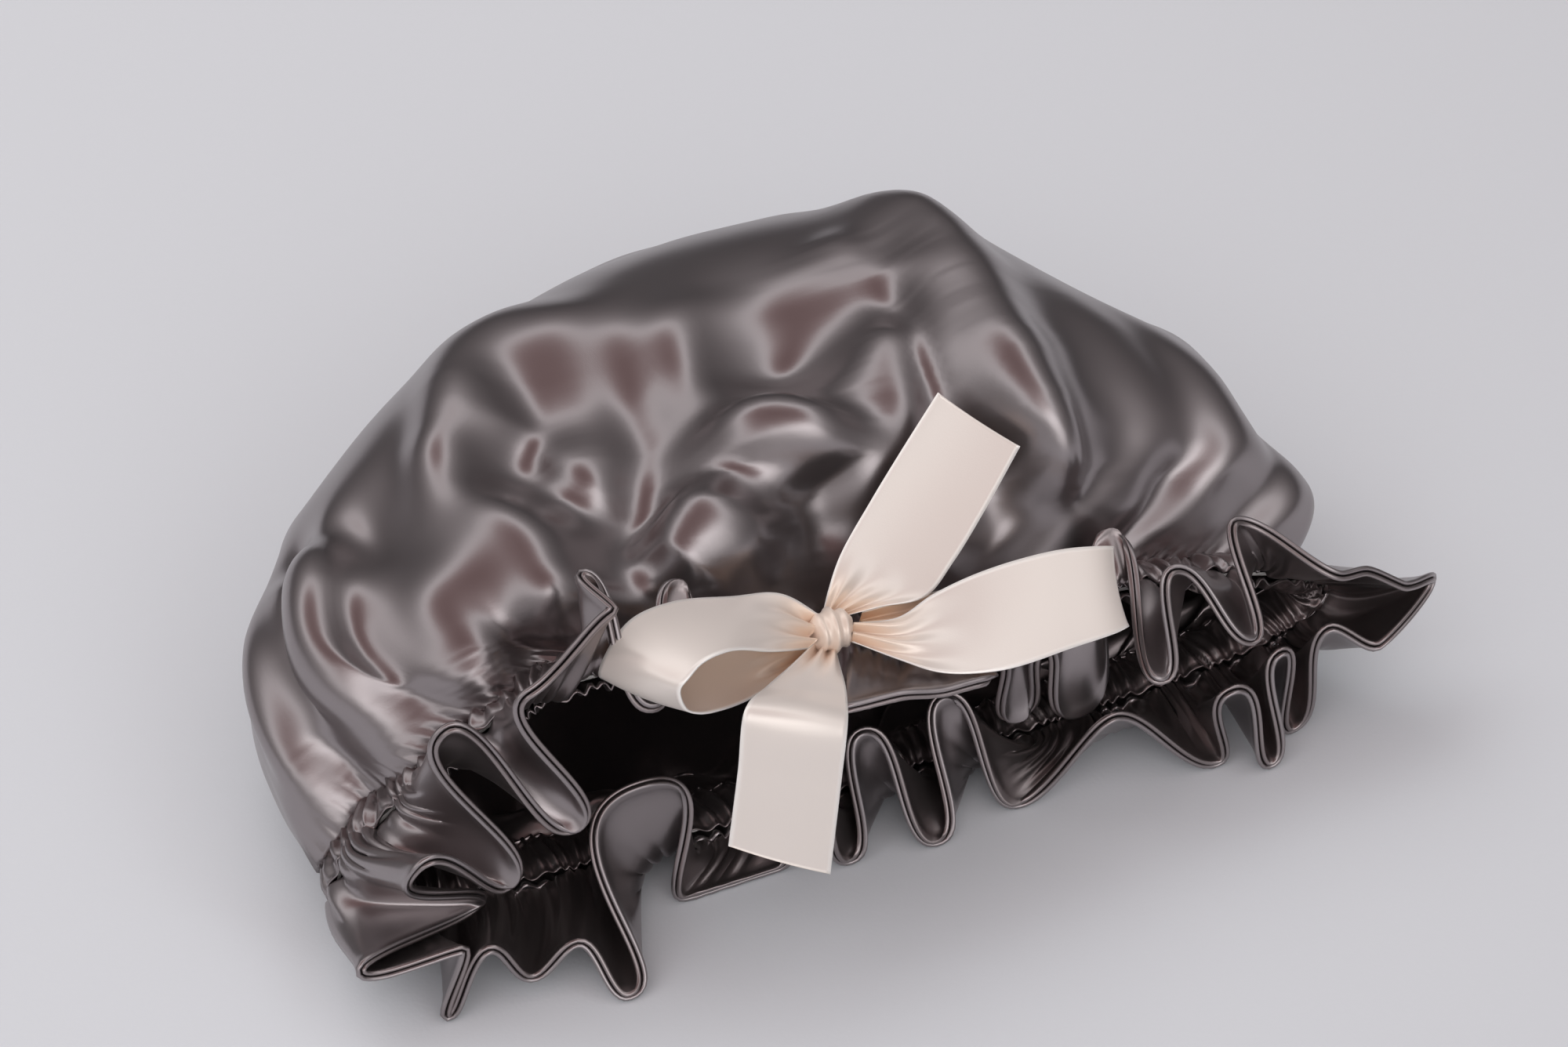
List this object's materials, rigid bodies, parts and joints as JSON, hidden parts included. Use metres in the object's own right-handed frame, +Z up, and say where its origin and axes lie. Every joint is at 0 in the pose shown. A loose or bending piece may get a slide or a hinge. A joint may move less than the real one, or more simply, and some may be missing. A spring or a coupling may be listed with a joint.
{
  "type": "satin sleep cap",
  "caption": "Lined satin sleep cap lying on its side, with a full gathered crown, an elastic casing, a fluted ruffle round the opening and a ribbon bow tacked to the casing.",
  "frame": {"origin": "on the table under the middle of the crown's flat underside", "axes": "+Z up, +X to the viewer's right along the opening, -Y the way the opening faces"},
  "size_m": [0.2819, 0.2124, 0.1048],
  "materials": {
    "satin": "smooth pewter grey satin with a soft sheen",
    "lining": "the same pewter grey satin, shiny side in",
    "elastic": "braided flat elastic, matt",
    "ribbon": "double-faced ivory satin ribbon, soft sheen",
    "thread": "sewing thread"
  },
  "bodies": {
    "cap": {"outer_crown": "satin", "lining_crown": "lining", "casing_outer": "satin", "casing_lining": "lining", "elastic_band": "elastic", "outer_ruffle": "satin", "lining_ruffle": "lining", "bow_knot": "ribbon", "bow_tack": "thread"},
    "left_loop": {"bow_left_loop": "ribbon"},
    "right_loop": {"bow_right_loop": "ribbon"},
    "upper_tail": {"bow_upper_tail": "ribbon"},
    "lower_tail": {"bow_lower_tail": "ribbon"}
  },
  "joints": [
    {"name": "left_loop_lift", "type": "hinge", "parent": "cap", "child": "left_loop", "pos_m": [-0.00552, -0.08967, 0.06712], "axis": [0.0494, 0.8645, 0.5002], "range_deg": [0, 45], "stiffness_Nm_per_rad": 0.002},
    {"name": "right_loop_lift", "type": "hinge", "parent": "cap", "child": "right_loop", "pos_m": [-0.00552, -0.08967, 0.06712], "axis": [-0.0494, -0.8645, -0.5002], "range_deg": [0, 45], "stiffness_Nm_per_rad": 0.002},
    {"name": "upper_tail_lift", "type": "hinge", "parent": "cap", "child": "upper_tail", "pos_m": [-0.00212, -0.08238, 0.07097], "axis": [0.9932, 0.0102, -0.1158], "range_deg": [0, 60], "stiffness_Nm_per_rad": 0.001},
    {"name": "lower_tail_lift", "type": "hinge", "parent": "cap", "child": "lower_tail", "pos_m": [-0.00592, -0.09668, 0.06306], "axis": [-0.9932, -0.0102, 0.1158], "range_deg": [0, 60], "stiffness_Nm_per_rad": 0.001}
  ]
}
